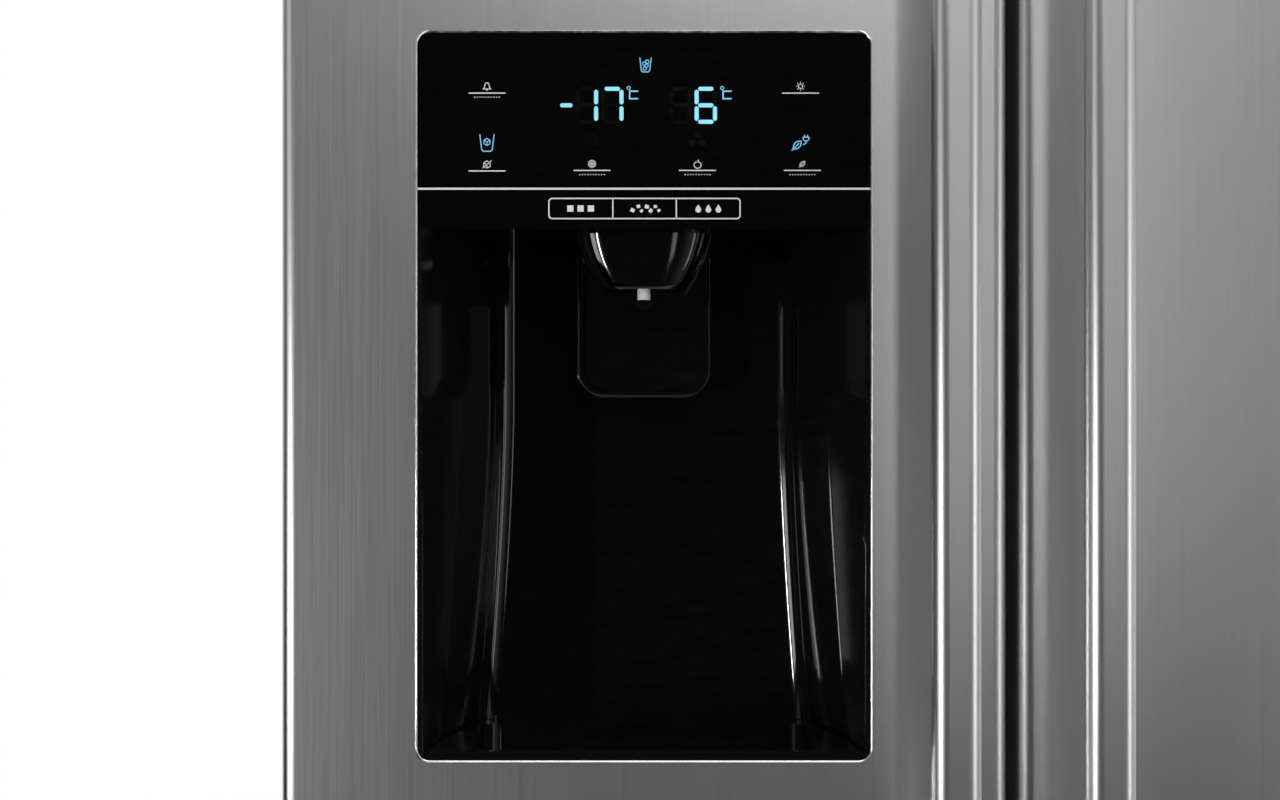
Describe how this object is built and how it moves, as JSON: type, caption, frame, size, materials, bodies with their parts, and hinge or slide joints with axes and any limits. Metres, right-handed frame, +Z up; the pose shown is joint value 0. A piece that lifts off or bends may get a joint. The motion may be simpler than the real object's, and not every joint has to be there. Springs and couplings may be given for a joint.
{
  "type": "side by side refrigerator",
  "caption": "Freestanding refrigerator with two tall steel doors side by side, bar handles and a black ice and water dispenser set in the freezer door.",
  "frame": {"origin": "centre of the footprint of the whole appliance, on the floor", "axes": "+X to the right seen from the front, -Y out of the doors, +Z up"},
  "size_m": [0.908, 0.734, 1.78],
  "materials": {
    "cabinet_paint": "satin, fine orange peel",
    "galvanised_sheet": "satin",
    "insulation": "matte foam",
    "liner_white": "satin",
    "frame_steel": "satin",
    "compressor_black": "gloss",
    "condenser_metal": "painted",
    "motor_metal": "satin",
    "fan_black": "matte",
    "pale_plastic": "satin",
    "dark_plastic": "fine grain",
    "coil_aluminium": "satin",
    "clear_plastic": "clear, slightly tinted",
    "auger_steel": "satin",
    "shelf_glass": "clear",
    "shelf_trim": "satin",
    "lamp_lens": "frosted",
    "roller_plastic": "matte",
    "foot_plastic": "matte",
    "door_steel": "vertical brushing",
    "door_cap": "satin",
    "gasket_rubber": "matte",
    "handle_steel": "brushed",
    "bright_trim": "polished",
    "gloss_black": "high gloss",
    "panel_glass": "high gloss, printed",
    "circuit_board": "lacquered",
    "nozzle_white": "satin",
    "lever_black": "gloss",
    "spring_steel": "bright",
    "flap_rubber": "matte"
  },
  "bodies": {
    "cabinet": {"cabinet_shell": "cabinet_paint", "rear_panel": "galvanised_sheet", "cabinet_foam": "insulation", "freezer_liner": "liner_white", "fridge_liner": "liner_white", "mullion_cover": "liner_white", "base_frame": "frame_steel", "compressor": "compressor_black", "condenser": "condenser_metal", "fan_motors": "motor_metal", "drain_pan": "pale_plastic", "machine_cover": "galvanised_sheet", "water_valve": "pale_plastic", "kick_plate": "dark_plastic", "bottom_hinges": "frame_steel", "top_hinges": "frame_steel", "hinge_covers": "dark_plastic", "evaporator": "coil_aluminium", "air_ducts": "pale_plastic", "ice_maker": "pale_plastic", "ice_bucket": "clear_plastic", "shelf_glass": "shelf_glass", "shelf_trims": "shelf_trim", "lamp_lenses": "lamp_lens"},
    "freezer_door": {"freezer_door_skin": "door_steel", "freezer_door_caps": "door_cap", "freezer_door_foam": "insulation", "freezer_door_liner": "liner_white", "freezer_gasket": "gasket_rubber", "freezer_handle": "handle_steel", "freezer_bins": "clear_plastic", "dispenser_trim": "bright_trim", "dispenser_housing": "gloss_black", "control_panel": "panel_glass", "control_board": "circuit_board", "ice_chute": "gloss_black", "water_nozzle": "nozzle_white", "lever_spring": "spring_steel", "flap_motor": "pale_plastic"},
    "fridge_door": {"fridge_door_skin": "door_steel", "fridge_door_caps": "door_cap", "fridge_door_foam": "insulation", "fridge_door_liner": "liner_white", "fridge_gasket": "gasket_rubber", "fridge_handle": "handle_steel", "fridge_bins": "clear_plastic"},
    "condenser_fan": {"condenser_fan": "fan_black"},
    "evaporator_fan": {"evaporator_fan": "pale_plastic"},
    "ice_tray": {"ice_tray": "pale_plastic"},
    "ice_auger": {"ice_auger": "auger_steel"},
    "freezer_drawer_upper": {"freezer_drawer_upper": "clear_plastic"},
    "freezer_drawer_lower": {"freezer_drawer_lower": "clear_plastic"},
    "crisper_upper": {"crisper_upper": "clear_plastic"},
    "crisper_lower": {"crisper_lower": "clear_plastic"},
    "rear_rollers": {"rear_rollers": "roller_plastic"},
    "foot_left": {"foot_left": "foot_plastic"},
    "foot_right": {"foot_right": "foot_plastic"},
    "drip_tray": {"drip_tray": "gloss_black"},
    "dispenser_lever": {"dispenser_lever": "lever_black"},
    "chute_flap": {"chute_flap": "flap_rubber"}
  },
  "joints": [
    {"name": "freezer_door_hinge", "type": "hinge", "parent": "cabinet", "child": "freezer_door", "pos_m": [-0.434, -0.288, 0], "axis": [0, 0, -1], "range_deg": [0, 120]},
    {"name": "fridge_door_hinge", "type": "hinge", "parent": "cabinet", "child": "fridge_door", "pos_m": [0.434, -0.288, 0], "axis": [0, 0, 1], "range_deg": [0, 120]},
    {"name": "freezer_drawer_upper_slide", "type": "slide", "parent": "cabinet", "child": "freezer_drawer_upper", "axis": [0, -1, 0], "range_m": [0, 0.141]},
    {"name": "freezer_drawer_lower_slide", "type": "slide", "parent": "cabinet", "child": "freezer_drawer_lower", "axis": [0, -1, 0], "range_m": [0, 0.141]},
    {"name": "crisper_upper_slide", "type": "slide", "parent": "cabinet", "child": "crisper_upper", "axis": [0, -1, 0], "range_m": [0, 0.141]},
    {"name": "crisper_lower_slide", "type": "slide", "parent": "cabinet", "child": "crisper_lower", "axis": [0, -1, 0], "range_m": [0, 0.141]},
    {"name": "dispenser_lever_hinge", "type": "hinge", "parent": "freezer_door", "child": "dispenser_lever", "pos_m": [-0.255, -0.237, 1.2124], "axis": [1, 0, 0], "range_deg": [0, 11], "stiffness_Nm_per_rad": 0.6, "springref_deg": -5.73},
    {"name": "chute_flap_hinge", "type": "hinge", "parent": "freezer_door", "child": "chute_flap", "pos_m": [-0.255, -0.237, 1.2278], "axis": [-1, 0, 0], "range_deg": [0, 60]},
    {"name": "drip_tray_lift", "type": "slide", "parent": "freezer_door", "child": "drip_tray", "axis": [0, 0, 1], "range_m": [0, 0.02]},
    {"name": "condenser_fan_spin", "type": "hinge", "parent": "cabinet", "child": "condenser_fan", "pos_m": [0, 0.259, 0.174], "axis": [1, 0, 0], "continuous": true},
    {"name": "evaporator_fan_spin", "type": "hinge", "parent": "cabinet", "child": "evaporator_fan", "pos_m": [-0.2435, 0.307, 0.8], "axis": [0, -1, 0], "continuous": true},
    {"name": "ice_auger_spin", "type": "hinge", "parent": "cabinet", "child": "ice_auger", "pos_m": [-0.255, 0, 1.4395], "axis": [0, 1, 0], "continuous": true},
    {"name": "ice_tray_turn", "type": "hinge", "parent": "cabinet", "child": "ice_tray", "pos_m": [-0.255, 0, 1.62], "axis": [0, 1, 0], "range_deg": [0, 160]},
    {"name": "rear_rollers_spin", "type": "hinge", "parent": "cabinet", "child": "rear_rollers", "pos_m": [0, 0.307, 0.021], "axis": [1, 0, 0], "continuous": true},
    {"name": "foot_left_thread", "type": "slide", "parent": "cabinet", "child": "foot_left", "axis": [0, 0, -1], "range_m": [0, 0.012]},
    {"name": "foot_right_thread", "type": "slide", "parent": "cabinet", "child": "foot_right", "axis": [0, 0, -1], "range_m": [0, 0.012]}
  ],
  "couplings": [
    {"joint": "freezer_drawer_upper_slide", "follows": "freezer_door_hinge", "m_per_rad": 0.066845},
    {"joint": "freezer_drawer_lower_slide", "follows": "freezer_door_hinge", "m_per_rad": 0.066845},
    {"joint": "crisper_upper_slide", "follows": "fridge_door_hinge", "m_per_rad": 0.066845},
    {"joint": "crisper_lower_slide", "follows": "fridge_door_hinge", "m_per_rad": 0.066845}
  ]
}
